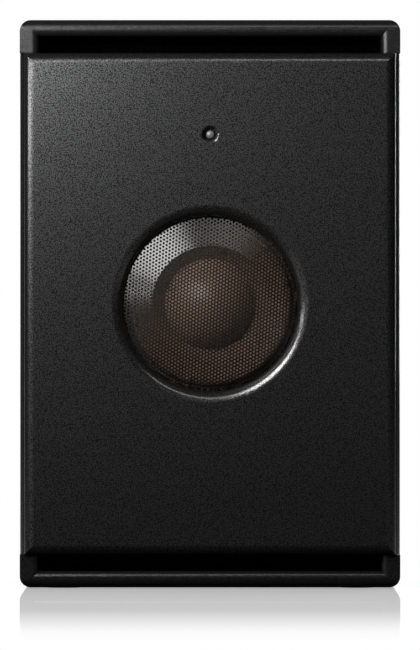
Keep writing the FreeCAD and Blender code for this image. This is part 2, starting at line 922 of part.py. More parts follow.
def board_standoffs():
    pillars = []
    for sx in (-1, 1):
        for sz in (-1, 1):
            x = sx * (circuit_width / 2 - standoff_inset)
            z = place_on_plate(circuit_centre) + sz * (circuit_height / 2 - standoff_inset)
            pillars.append(rod(standoff_radius, circuit_back, plate_in, x, z))
    return Part.makeCompound(pillars)


def capacitors():
    cans = []
    foot = circuit_back - board_thickness
    for side in (-1, 1):
        can = rod(capacitor_radius, foot - capacitor_height, foot,
                  side * capacitor_spread, place_on_plate(circuit_centre))
        rims = [e for e in can.Edges if e.BoundBox.YMax < foot - capacitor_height / 2]
        cans.append(can.makeFillet(capacitor_round, rims))
    return Part.makeCompound(cans)


def pot(x):
    z = place_on_plate(control_row)
    body = block(x, z, pot_body_size, pot_body_size, plate_in - pot_body_depth, plate_in)
    bushing = rod(pot_bushing_radius, plate_in, plate_out + pot_bushing_proud, x, z)
    bore = rod(shaft_radius + shaft_gap, plate_out - shaft_seat_depth, plate_out + reach, x, z)
    return body.fuse(bushing).cut(bore).removeSplitter()


def shaft(x):
    z = place_on_plate(control_row)
    inner = plate_out - shaft_seat_depth + shaft_gap
    return rod(shaft_radius, inner, inner + shaft_length, x, z)


def knob(x):
    z = place_on_plate(control_row)
    back = plate_out + knob_lift
    body = Part.makeCone(knob_radius, knob_top_radius, knob_length, vec(x, back, z), deep)
    bore = rod(shaft_radius, back - reach, plate_out - shaft_seat_depth + shaft_gap + shaft_length, x, z)
    groove = block(x, z + knob_radius / 2, knob_line_width, knob_radius,
                   back + knob_length - knob_line_depth, back + knob_length + reach)
    return body.cut(bore).cut(groove)


def socket_shell(x):
    z = place_on_plate(socket_row)
    face = plate_out + socket_flange_thickness
    flange = rounded_block(x, z, socket_flange_width, socket_flange_height, plate_out, face, socket_flange_corner)
    body = rod(socket_body_radius, plate_out - socket_body_depth, plate_out, x, z)
    return flange.fuse(body).removeSplitter(), face, z


def pin_places(x, z):
    pins = []
    for step in range(pin_count):
        turn = math.radians(pin_first_turn + 360.0 * step / pin_count)
        pins.append((x + pin_circle * math.cos(turn), z + pin_circle * math.sin(turn)))
    return pins


def input_sockets():
    # a plug's sleeve goes into the ring gap, and its pins into the core
    sockets = []
    for x in input_places:
        shell, face, z = socket_shell(x)
        shell = shell.cut(ring(socket_bore, socket_core_radius, face - socket_bore_depth, face + reach, x, z))
        for px, pz in pin_places(x, z):
            shell = shell.cut(rod(pin_radius + pin_hole_gap, face - socket_bore_depth, face + reach, px, pz))
        sockets.append(shell)
    return Part.makeCompound(sockets)


def output_sockets():
    sockets = []
    for x in output_places:
        shell, face, z = socket_shell(x)
        sockets.append(shell.cut(rod(socket_bore, face - socket_bore_depth, face + reach, x, z)))
    return Part.makeCompound(sockets)


def output_pins():
    pins = []
    floor = plate_out + socket_flange_thickness - socket_bore_depth
    for x in output_places:
        for px, pz in pin_places(x, place_on_plate(socket_row)):
            pins.append(rod(pin_radius, floor, floor + pin_length, px, pz))
    return Part.makeCompound(pins)


def power_inlet():
    z = place_on_plate(socket_row)
    face = plate_out + inlet_flange_thickness
    flange = rounded_block(inlet_place, z, inlet_flange_width, inlet_flange_height, plate_out, face,
                           socket_flange_corner)
    body = block(inlet_place, z, inlet_body_width, inlet_body_height, plate_out - inlet_body_depth, plate_out)
    cavity = block(inlet_place, z, inlet_cavity_width, inlet_cavity_height, face - inlet_cavity_depth, face + reach)
    top_corners = edges_along(cavity, deep, lambda p: p.z > z)
    cavity = cavity.makeChamfer(inlet_cavity_chamfer, top_corners)
    return flange.fuse(body).cut(cavity).removeSplitter()


def inlet_blades():
    z = place_on_plate(socket_row)
    floor = plate_out + inlet_flange_thickness - inlet_cavity_depth
    blades = []
    for step in (-1, 0, 1):
        rise = blade_rise if step == 0 else -blade_rise
        blades.append(block(inlet_place + step * blade_spread, z + rise, blade_width, blade_height,
                            floor, floor + blade_length))
    return Part.makeCompound(blades)


def fuse_holder():
    z = place_on_plate(control_row)
    cap = rod(fuse_cap_radius, plate_out, plate_out + fuse_cap_height, fuse_place, z)
    body = rod(fuse_body_radius, plate_out - fuse_body_depth, plate_out, fuse_place, z)
    slot = block(fuse_place, z, 2 * fuse_cap_radius, fuse_slot_width,
                 plate_out + fuse_cap_height - fuse_slot_depth, plate_out + fuse_cap_height + reach)
    return cap.fuse(body).cut(slot).removeSplitter()


def rocker_pivot():
    return vec(switch_place, plate_out + bezel_thickness / 2, place_on_plate(control_row))


def rocker_drum(radius, width):
    pivot = rocker_pivot()
    return Part.makeCylinder(radius, width, pivot - vec(width / 2, 0, 0), across)


def power_switch_body():
    z = place_on_plate(control_row)
    bezel = block(switch_place, z, bezel_width, bezel_height, plate_out, plate_out + bezel_thickness)
    body = block(switch_place, z, switch_body_width, switch_body_height, plate_out - switch_body_depth, plate_out)
    well = rocker_drum(rocker_radius + rocker_clearance, rocker_width + 2 * rocker_clearance)
    return bezel.fuse(body).cut(well).removeSplitter()


def power_rocker():
    pivot = rocker_pivot()
    rise = rocker_radius * math.tan(math.radians(rocker_tilt))
    limit = rocker_radius
    front = outline([
        (-limit, -rocker_back), (limit, -rocker_back), (limit, rocker_crown + rise),
        (0, rocker_crown), (-limit, rocker_crown + rise),
    ])
    wedge = prism_across(front, -rocker_width / 2, rocker_width / 2)
    wedge.translate(pivot)
    rocker = rocker_drum(rocker_radius, rocker_width).common(wedge)
    rocker.rotate(pivot, across, rocker_tilt)
    return rocker


def lever_pivot_point():
    return vec(phase_place, plate_out + lever_pivot, place_on_plate(control_row))


def phase_switch_body():
    z = place_on_plate(control_row)
    tip = plate_out + bushing_proud
    body = block(phase_place, z, toggle_body_width, toggle_body_height, plate_in - toggle_body_depth, plate_in)
    bushing = rod(bushing_radius, plate_in, tip, phase_place, z)
    nut = rod(bushing_nut_radius, plate_out, plate_out + bushing_nut_thickness, phase_place, z)
    pivot = lever_pivot_point()
    socket_radius = lever_ball_radius + lever_gap
    spread = math.tan(math.radians(lever_swing)) * (tip - pivot.y) + lever_gap
    mouth = Part.makeCone(socket_radius, socket_radius + spread / 2, tip - pivot.y, pivot, deep)
    pocket = rod(socket_radius, pivot.y - socket_radius, pivot.y, phase_place, z)
    return body.fuse([bushing, nut]).cut(pocket.fuse(mouth)).removeSplitter()


def phase_lever():
    pivot = lever_pivot_point()
    ball = Part.makeSphere(lever_ball_radius, pivot)
    stem = Part.makeCone(lever_root_radius, lever_tip_radius, lever_length, pivot, deep)
    tip = Part.makeSphere(lever_tip_radius, pivot + vec(0, lever_length, 0))
    lever = ball.fuse([stem, tip]).removeSplitter()
    lever.rotate(pivot, across, lever_swing)
    return lever


def cable_path():
    # from the circuit board, forward past the transformer and the brace, up to the driver's tags
    lane_x = inner_half - brace_border_side - cable_clearance - cable_radius
    start = vec(lane_x, circuit_back - board_thickness, place_on_plate(circuit_centre))
    tag = vec(tag_spacing / 2, flange_back + board_thickness + tag_length, tag_height())
    turn = tag.y + cable_slack
    return [start, vec(start.x, turn, start.z), vec(start.x, turn, tag.z), vec(tag.x, turn, tag.z), tag]


def speaker_cable():
    points = cable_path()
    edges = []
    last = points[0]
    for before, corner, after in zip(points, points[1:], points[2:]):
        arrive = (corner - before).normalize()
        leave = (after - corner).normalize()
        enter = corner - arrive * cable_bend
        depart = corner + leave * cable_bend
        centre = corner - arrive * cable_bend + leave * cable_bend
        middle = centre + (corner - centre).normalize() * cable_bend
        edges.append(Part.LineSegment(last, enter).toShape())
        edges.append(Part.Arc(enter, middle, depart).toShape())
        last = depart
    edges.append(Part.LineSegment(last, points[-1]).toShape())
    path = Part.Wire(edges)
    first = (points[1] - points[0]).normalize()
    section = Part.Wire([Part.Circle(points[0], first, cable_radius).toShape()])
    return path.makePipeShell([section], True, False)


def save(name, shape):
    shape = shape.copy()
    shape.translate(vec(0, depth_shift, foot_proud))
    shape.exportStep("parts/" + name + ".step")


def pieces():
    frame = upper_port_frame()
    shelf = upper_port_shelf()
    pad = right_damping_pad()
    return {
        "cabinet_shell": cabinet_shell(),
        "rear_panel": rear_panel(),
        "window_brace": window_brace(),
        "upper_port_shelf": shelf,
        "lower_port_shelf": mirrored_up(shelf),
        "right_damping_pad": pad,
        "left_damping_pad": mirrored_across(pad),
        "rubber_feet": rubber_feet(),
        "foot_screws": foot_screws(),
        "upper_port_frame": frame,
        "lower_port_frame": mirrored_up(frame),
        "front_baffle": front_baffle(),
        "grille_mesh": grille_mesh(),
        "grille_clamp_ring": grille_clamp_ring(),
        "status_lens": status_lens(),
        "lens_holder": lens_holder(),
        "lamp_board": lamp_board(),
        "driver_gasket": driver_gasket(),
        "driver_basket": driver_basket(),
        "surround": surround(),
        "cone": cone(),
        "dust_cap": dust_cap(),
        "voice_coil_former": voice_coil_former(),
        "voice_coil_winding": voice_coil_winding(),
        "spider": spider(),
        "top_plate": top_plate(),
        "ring_magnet": ring_magnet(),
        "pole_yoke": pole_yoke(),
        "driver_screws": driver_screws(),
        "driver_terminals": driver_terminals(),
        "amplifier_plate": amplifier_plate(),
        "amplifier_gasket": amplifier_gasket(),
        "amplifier_screws": amplifier_screws(),
        "heat_sink": heat_sink(),
        "power_transformer": power_transformer(),
        "transformer_pad": transformer_pad_ring(),
        "transformer_washer": transformer_washer(),
        "transformer_bolt": transformer_bolt(),
        "circuit_board": circuit_board(),
        "board_standoffs": board_standoffs(),
        "capacitors": capacitors(),
        "level_pot": pot(level_place),
        "level_shaft": shaft(level_place),
        "level_knob": knob(level_place),
        "crossover_pot": pot(crossover_place),
        "crossover_shaft": shaft(crossover_place),
        "crossover_knob": knob(crossover_place),
        "input_sockets": input_sockets(),
        "output_sockets": output_sockets(),
        "output_pins": output_pins(),
        "power_inlet": power_inlet(),
        "inlet_blades": inlet_blades(),
        "fuse_holder": fuse_holder(),
        "power_switch_body": power_switch_body(),
        "power_rocker": power_rocker(),
        "phase_switch_body": phase_switch_body(),
        "phase_lever": phase_lever(),
        "speaker_cable": speaker_cable(),
    }


os.makedirs("parts", exist_ok=True)
for piece_name, piece_shape in pieces().items():
    save(piece_name, piece_shape)
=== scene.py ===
"""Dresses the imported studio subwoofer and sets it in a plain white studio."""

import logging
import math
from dataclasses import dataclass, field
from enum import Enum

import bpy
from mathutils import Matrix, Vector


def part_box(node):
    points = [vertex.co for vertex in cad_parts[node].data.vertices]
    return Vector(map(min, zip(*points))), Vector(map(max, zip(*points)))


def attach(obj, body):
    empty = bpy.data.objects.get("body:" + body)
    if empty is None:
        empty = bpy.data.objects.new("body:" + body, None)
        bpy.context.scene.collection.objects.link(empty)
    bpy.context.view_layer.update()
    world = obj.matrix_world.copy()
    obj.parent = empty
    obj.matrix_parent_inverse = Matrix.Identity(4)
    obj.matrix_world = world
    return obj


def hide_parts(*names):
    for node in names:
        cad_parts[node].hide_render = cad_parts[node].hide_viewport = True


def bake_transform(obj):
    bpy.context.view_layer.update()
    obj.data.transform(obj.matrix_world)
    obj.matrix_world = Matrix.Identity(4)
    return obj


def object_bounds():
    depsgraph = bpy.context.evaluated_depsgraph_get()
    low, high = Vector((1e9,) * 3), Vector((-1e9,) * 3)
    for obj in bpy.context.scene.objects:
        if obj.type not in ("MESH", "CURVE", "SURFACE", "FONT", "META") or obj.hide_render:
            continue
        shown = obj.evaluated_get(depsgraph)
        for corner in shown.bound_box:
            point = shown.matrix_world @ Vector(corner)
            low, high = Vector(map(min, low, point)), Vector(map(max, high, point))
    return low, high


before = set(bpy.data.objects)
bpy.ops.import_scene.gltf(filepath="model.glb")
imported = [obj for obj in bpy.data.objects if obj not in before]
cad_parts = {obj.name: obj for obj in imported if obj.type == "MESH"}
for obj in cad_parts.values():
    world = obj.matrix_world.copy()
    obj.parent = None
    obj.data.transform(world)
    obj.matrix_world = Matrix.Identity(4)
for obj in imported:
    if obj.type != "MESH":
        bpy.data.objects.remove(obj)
CAD_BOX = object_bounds()

log = logging.getLogger("subwoofer")
MM = 0.001
IMAGE_HEIGHT = 650
WHITE = "#ffffff"
# Between these heights, a pattern runs from its first tone to its second.
TONE_LOW, TONE_HIGH = 0.3, 0.7
# The wave texture multiplies its place by this, which leaves a wave two pi grains long.
WAVE_FACTOR = 20
# A brushed or rolled surface has its grain drawn out 25 times along the width.
BRUSH_STRETCH = (0.04, 1.0, 1.0)
# A droplet's height at its middle, and how unevenly droplets lie.
DROPLET_HEIGHT, DROPLET_SCATTER = 0.95, 0.85
# A fibre's soft mottle is this many times as wide as its fine grain.
MOTTLE_FACTOR = 8

Point = tuple[float, float, float]
Face = tuple[int, ...]
Profile = list[tuple[float, float]]


def srgb(code: str) -> tuple[float, float, float, float]:
    """Turns an sRGB hex colour to linear.

    Args:
        code: Six hex digits, with or without a leading hash.

    Returns:
        Linear red, green and blue, and an alpha of one.
    """
    digits = code.lstrip("#")
    channels = [int(digits[i:i + 2], 16) / 255 for i in (0, 2, 4)]
    linear = [c / 12.92 if c <= 0.04045 else ((c + 0.055) / 1.055) ** 2.4 for c in channels]
    return linear[0], linear[1], linear[2], 1.0


def add_node(tree: bpy.types.NodeTree, kind: str, inputs: dict | None = None, **settings) -> bpy.types.Node:
    """Adds a node with its settings and links.

    Args:
        tree: The node tree that gets the node.
        kind: The node's type name.
        inputs: Per input, by name or number, the socket that feeds it or its value.
        **settings: The node's own properties.

    Returns:
        The new node.
    """
    made = tree.nodes.new(kind)
    for key, value in settings.items():
        setattr(made, key, value)
    for key, value in (inputs or {}).items():
        if isinstance(value, bpy.types.NodeSocket):
            tree.links.new(value, made.inputs[key])
        else:
            made.inputs[key].default_value = value
    return made


class Pattern(Enum):
    """How a surface was made, which sets the pattern drawn on it."""

    GRAIN = "moulded, cast or plated: an even fine grain"
    DROPLETS = "sprayed or spark eroded: small spots side by side, each with its own gloss"
    BRUSH = "brushed or rolled: grain drawn out along one way"
    WEAVE = "woven: crossed threads"
    FIBRE = "pressed or needled: a fine grain over a soft mottle"
    TURNS = "wound: turns side by side along the depth"


@dataclass(frozen=True)
class Finish:
    """A real material with the way its surface was made.

    Sizes are in millimetres. The pattern drives the colour, the roughness, a bump and, with sparkle, the shine.
    """

    name: str
    colour: str
    second: str
    roughness: float
    pattern: Pattern = Pattern.GRAIN
    grain: float = 1.0
    depth: float = 0.05
    spread: float = 0.08
    metallic: float = 0.0
    ior: float = 1.5
    specular: float = 0.5
    sheen: float = 0.0
    coat: float = 0.0
    coat_roughness: float = 0.18
    sparkle: float = 0.0

    def height(self, tree: bpy.types.NodeTree) -> bpy.types.NodeSocket:
        """Draws the pattern.

        Args:
            tree: The material's node tree.

        Returns:
            The socket with the pattern's height from zero to one.
        """
        place = add_node(tree, "ShaderNodeTexCoord").outputs["Object"]
        scale = 1 / (self.grain * MM)
        if self.pattern is Pattern.BRUSH:
            stretch = add_node(tree, "ShaderNodeMapping", {"Vector": place, "Scale": BRUSH_STRETCH})
            place = stretch.outputs[0]
        if self.pattern is Pattern.WEAVE:
            threads = {"Vector": place, "Scale": scale / WAVE_FACTOR, "Distortion": 0.4}
            waves = [add_node(tree, "ShaderNodeTexWave", threads, bands_direction=way).outputs["Fac"]
                     for way in ("X", "Z")]
            return add_node(tree, "ShaderNodeMath", {0: waves[0], 1: waves[1]}, operation="MULTIPLY").outputs[0]
        if self.pattern is Pattern.TURNS:
            turns = {"Vector": place, "Scale": scale / WAVE_FACTOR, "Distortion": 0.1}
            return add_node(tree, "ShaderNodeTexWave", turns, bands_direction="Y").outputs["Fac"]
        if self.pattern is Pattern.DROPLETS:
            spots = add_node(tree, "ShaderNodeTexVoronoi",
                             {"Vector": place, "Scale": scale, "Randomness": DROPLET_SCATTER})
            return add_node(tree, "ShaderNodeMath", {0: DROPLET_HEIGHT, 1: spots.outputs["Distance"]},
                            operation="SUBTRACT").outputs[0]
        fine = add_node(tree, "ShaderNodeTexNoise", {"Vector": place, "Scale": scale, "Detail": 1.0})
        if self.pattern is not Pattern.FIBRE:
            return fine.outputs["Fac"]
        soft = add_node(tree, "ShaderNodeTexNoise", {"Vector": place, "Scale": scale / MOTTLE_FACTOR, "Detail": 4.0})
        return add_node(tree, "ShaderNodeMath", {0: fine.outputs["Fac"], 1: soft.outputs["Fac"]},
                        operation="MULTIPLY").outputs[0]

    def material(self) -> bpy.types.Material:
        """Makes the material, or finds it if it is made already.

        Returns:
            The material.
        """
        found = bpy.data.materials.get(self.name)
        if found is not None:
            return found
        made = bpy.data.materials.new(self.name)
        made.use_nodes = True
        tree = made.node_tree
        shader = tree.nodes["Principled BSDF"]
        height = self.height(tree)
        run = {"Value": height, "From Min": TONE_LOW, "From Max": TONE_HIGH}
        tone = add_node(tree, "ShaderNodeMapRange", run)
        colour = add_node(tree, "ShaderNodeMix", {0: tone.outputs[0], 6: srgb(self.colour), 7: srgb(self.second)},
                          data_type="RGBA")
        rough = add_node(tree, "ShaderNodeMapRange", {
            **run, "To Min": self.roughness - self.spread, "To Max": self.roughness + self.spread})
        bump = add_node(tree, "ShaderNodeBump", {"Height": height, "Distance": self.depth * MM})
        tree.links.new(colour.outputs[2], shader.inputs["Base Color"])
        tree.links.new(rough.outputs[0], shader.inputs["Roughness"])
        tree.links.new(bump.outputs[0], shader.inputs["Normal"])
        shader.inputs["Metallic"].default_value = self.metallic
        if self.metallic == 0.0:
            shader.inputs["IOR"].default_value = self.ior
            shader.inputs["Specular IOR Level"].default_value = self.specular
        if self.sparkle > 0.0:
            glint = add_node(tree, "ShaderNodeMapRange", {
                **run, "To Min": self.specular * (1 - self.sparkle), "To Max": self.specular * (1 + self.sparkle)})
            tree.links.new(glint.outputs[0], shader.inputs["Specular IOR Level"])
        shader.inputs["Sheen Weight"].default_value = self.sheen
        shader.inputs["Coat Weight"].default_value = self.coat
        shader.inputs["Coat Roughness"].default_value = self.coat_roughness
        return made


# Fibreboard sprayed with textured black lacquer: a soft, slightly grainy sheen. Its spots are drawn about three times
# as wide as real ones, which would be too fine to show in the render.
TEXTURED_LACQUER = Finish("black_textured_lacquer_sprayed", "#070707", "#0e0e0e", 0.284, Pattern.DROPLETS, grain=1.2,
                          depth=0.004, spread=0.006, specular=0.335, sparkle=0.75, coat=0.32)
# ABS moulded in a spark-eroded tool: the same black and duller, with its grain drawn as coarse as the lacquer's so that
# it shows.
MOULDED_ABS = Finish("black_abs_moulded", "#080808", "#0d0d0d", 0.33, Pattern.DROPLETS, grain=1.2, depth=0.004,
                     spread=0.01, specular=0.17, sparkle=0.5, coat=0.12)
# Raw fibreboard sawn to size: dull brown with a fibre mottle.
RAW_FIBREBOARD = Finish("fibreboard_sawn", "#7d6246", "#5f4931", 0.85, Pattern.FIBRE, grain=2.0, specular=0.2)
# Fibreboard stained black where the ports show it: it swallows the light.
STAINED_FIBREBOARD = Finish("fibreboard_stained_black", "#060606", "#0b0b0b", 0.9, Pattern.FIBRE, grain=2.0,
                            specular=0.1)
# Polyester felt, needled: soft grey with loose fibres.
NEEDLED_FELT = Finish("polyester_felt_needled", "#8b8b8d", "#5e5e60", 0.95, Pattern.FIBRE, grain=3.0, depth=0.8,
                      sheen=0.4, specular=0.1)
# Steel sheet, punched and dip painted: an even satin black.
PAINTED_SHEET = Finish("steel_sheet_satin_black", "#060606", "#090909", 0.284, grain=0.8, depth=0.004, spread=0.006,
                       specular=0.20, coat=0.08)
# Acrylic light guide, frosted: a pale grey cap.
FROSTED_ACRYLIC = Finish("acrylic_frosted", "#464645", "#3c3c3b", 0.35, grain=0.8, depth=0.01, ior=1.49)
# Nylon, moulded with a matt skin: a black that hardly shines down in the lamp's well.
MATT_NYLON = Finish("black_nylon_moulded_matt", "#060606", "#0b0b0b", 0.9, grain=1.0, specular=0.1)
# Rubber, moulded: dull near-black.
MOULDED_RUBBER = Finish("rubber_moulded", "#1a1a1a", "#121212", 0.7, grain=1.2, specular=0.3)
# Rubber, moulded in the cone's brown: dull, with a little bloom.
BROWN_RUBBER = Finish("rubber_moulded_brown", "#554434", "#49392b", 0.65, grain=1.2, specular=0.3)
# Closed cell foam, cut: dull and porous.
CUT_FOAM = Finish("foam_closed_cell_cut", "#2a2a2b", "#19191a", 0.9, grain=1.5, depth=0.3, specular=0.1)
# Brown paper pulp, pressed and lightly sized: warm, with a soft sheen.
PRESSED_PULP = Finish("paper_pulp_pressed", "#776150", "#695443", 0.5, Pattern.FIBRE, grain=1.6, depth=0.06)
# The same pulp, in a darker brown for the cone.
DARK_PULP = Finish("paper_pulp_dark", "#584637", "#4c3b2d", 0.55, Pattern.FIBRE, grain=1.6, depth=0.06)
# Cotton cloth, woven and dipped in resin: ochre.
DIPPED_COTTON = Finish("cotton_cloth_resin_dipped", "#b08a4c", "#8c6a35", 0.75, Pattern.WEAVE, grain=0.9, depth=0.15)
# Aluminium, die cast and black coated: a slightly rough casting skin.
COATED_CASTING = Finish("aluminium_die_cast_black", "#1d1d1e", "#262627", 0.5, grain=1.0, depth=0.06)
# Aluminium foil, rolled.
ROLLED_ALUMINIUM = Finish("aluminium_foil_rolled", "#c9c9ca", "#b5b5b6", 0.35, Pattern.BRUSH, grain=0.8, depth=0.01,
                          metallic=1.0)
# Aluminium sheet and extrusion, black anodised: dark with a fine drawn grain.
ANODISED_BLACK = Finish("aluminium_anodised_black", "#202022", "#29292b", 0.42, Pattern.BRUSH, grain=1.0, depth=0.015,
                        specular=0.6)
# Enamelled copper wire, wound.
COPPER_WIRE = Finish("copper_wire_wound", "#b06a3c", "#8a4d28", 0.32, Pattern.TURNS, grain=0.9, depth=0.2,
                     metallic=1.0)
# Steel, zinc plated: pale and slightly cloudy.
ZINC_PLATE = Finish("steel_zinc_plated", "#b9bcc0", "#9ca0a5", 0.34, grain=2.2, depth=0.01, metallic=1.0)
# Steel, nickel plated: brighter and smoother.
NICKEL_PLATE = Finish("steel_nickel_plated", "#c8c4bd", "#b4b0a8", 0.24, Pattern.BRUSH, grain=1.0, depth=0.005,
                      metallic=1.0)
# Steel screws, blackened in oil: dark with a dull shine.
BLACKENED_STEEL = Finish("steel_blackened", "#2b2b2d", "#1d1d1f", 0.38, grain=0.8, depth=0.01, metallic=1.0)
# Ferrite, sintered and ground: dark grey.
GROUND_FERRITE = Finish("ferrite_ground", "#3a3a3c", "#2c2c2e", 0.6, grain=1.2, depth=0.05)
# Glass laminate under green solder mask.
GREEN_LAMINATE = Finish("glass_laminate_green", "#1f5a36", "#174729", 0.35, Pattern.WEAVE, grain=1.5, depth=0.02)
# Polyester tape, wound round a ring core: amber, in laps.
WOUND_TAPE = Finish("polyester_tape_wound", "#c08a1e", "#9a6a12", 0.3, Pattern.TURNS, grain=6.0, depth=0.1, coat=0.3)
# Vinyl sleeve, shrunk on: dark blue.
SHRUNK_SLEEVE = Finish("vinyl_sleeve_shrunk", "#1b2450", "#151c40", 0.32, grain=4.0, depth=0.02)
# Brass contacts, turned and plated.
PLATED_BRASS = Finish("brass_turned", "#c9a356", "#b08c44", 0.26, Pattern.TURNS, grain=0.6, depth=0.01, metallic=1.0)
# Epoxy paint, screen printed on the plate and wiped into the knobs' lines: an even soft white.
WHITE_EPOXY = Finish("white_epoxy_paint_printed", "#dcdcd8", "#d2d2ce", 0.5, grain=0.8, depth=0.004, specular=0.4)
# Vinyl cable jacket, extruded.
EXTRUDED_VINYL = Finish("vinyl_jacket_extruded", "#5a1a1a", "#4a1414", 0.5, grain=1.5, depth=0.02)


def dress(finish: Finish, *names: str) -> None:
    """Gives CAD nodes a finish.

    Args:
        finish: The finish.
        *names: The nodes.
    """
    for name in names:
        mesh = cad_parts[name].data
        mesh.materials.clear()
        mesh.materials.append(finish.material())
        log.info("%s: %s", name, finish.name)


def add_mesh(name: str, points: list[Point], faces: list[Face], finish: Finish,
             smooth: bool = False) -> bpy.types.Object:
    """Makes a mesh piece with a finish.

    Args:
        name: The piece's name.
        points: Its points in metres, in the row frame.
        faces: Its faces, as point numbers.
        finish: Its finish.
        smooth: Whether its faces are shaded smooth.

    Returns:
        The new object.
    """
    mesh = bpy.data.meshes.new(name)
    mesh.from_pydata(points, [], faces)
    mesh.polygons.foreach_set("use_smooth", [smooth] * len(mesh.polygons))
    mesh.materials.append(finish.material())
    mesh.update()
    made = bpy.data.objects.new(name, mesh)
    bpy.context.scene.collection.objects.link(made)
    log.info("%s: %d faces, %s", name, len(faces), finish.name)
    return made


@dataclass
class Cabinet:
    """The lacquered box with its port frames, braces, pads and feet."""

    def dress(self) -> None:
        """Gives the box and what it holds their finishes."""
        dress(TEXTURED_LACQUER, "cabinet_shell", "rear_panel", "front_baffle")
        dress(MOULDED_ABS, "upper_port_frame", "lower_port_frame")
        dress(STAINED_FIBREBOARD, "upper_port_shelf", "lower_port_shelf")
        dress(RAW_FIBREBOARD, "window_brace")
        dress(NEEDLED_FELT, "right_damping_pad", "left_damping_pad")
        dress(MOULDED_RUBBER, "rubber_feet")
        dress(ZINC_PLATE, "foot_screws")


@dataclass
class FlatSheet:
    """A punched sheet before it is formed. Sizes are in millimetres, from its middle."""

    points: list[tuple[float, float]] = field(default_factory=list)
    cells: list[Face] = field(default_factory=list)
    rims: list[tuple[int, int]] = field(default_factory=list)
    known: dict[tuple[float, float], int] = field(default_factory=dict)

    def corner(self, x: float, z: float, shared: bool) -> int:
        """Finds or adds a point.

        Args:
            x: Its place across.
            z: Its height.
            shared: Whether the cells beside it use it too.

        Returns:
            Its number.
        """
        key = (round(x, 3), round(z, 3))
        if shared and key in self.known:
            return self.known[key]
        index = len(self.points)
        self.points.append((x, z))
        if shared:
            self.known[key] = index
        return index

    def punch(self, x: float, z: float, pitch: float, hole: float, start: float, sides: int) -> None:
        """Adds a six-sided cell with a round hole.

        Args:
            x: The hole's place across.
            z: Its height.
            pitch: The distance to the next hole.
            hole: Its width.
            start: The angle of the rows, in radians.
            sides: How many sides draw it, two for each side of the cell.
        """
        inner = []
        outer = []
        for k in range(sides):
            angle = start + k * 2 * math.pi / sides
            across, rise = math.cos(angle), math.sin(angle)
            far = pitch / 2 if k % 2 == 0 else pitch / math.sqrt(3)
            inner.append(self.corner(x + hole / 2 * across, z + hole / 2 * rise, False))
            outer.append(self.corner(x + far * across, z + far * rise, True))
        for k in range(sides):
            n = (k + 1) % sides
            self.cells.append((inner[k], outer[k], outer[n], inner[n]))
            self.rims.append((inner[k], inner[n]))

    def open_edges(self) -> list[tuple[int, int]]:
        """Finds the sheet's outer edge.

        Returns:
            The outer pairs of points that only one cell uses.
        """
        pairs = [(cell[1], cell[2]) for cell in self.cells]
        uses: dict[tuple[int, int], int] = {}
        for a, b in pairs:
            key = (min(a, b), max(a, b))
            uses[key] = uses.get(key, 0) + 1
        return [(a, b) for a, b in pairs if uses[(min(a, b), max(a, b))] == 1]


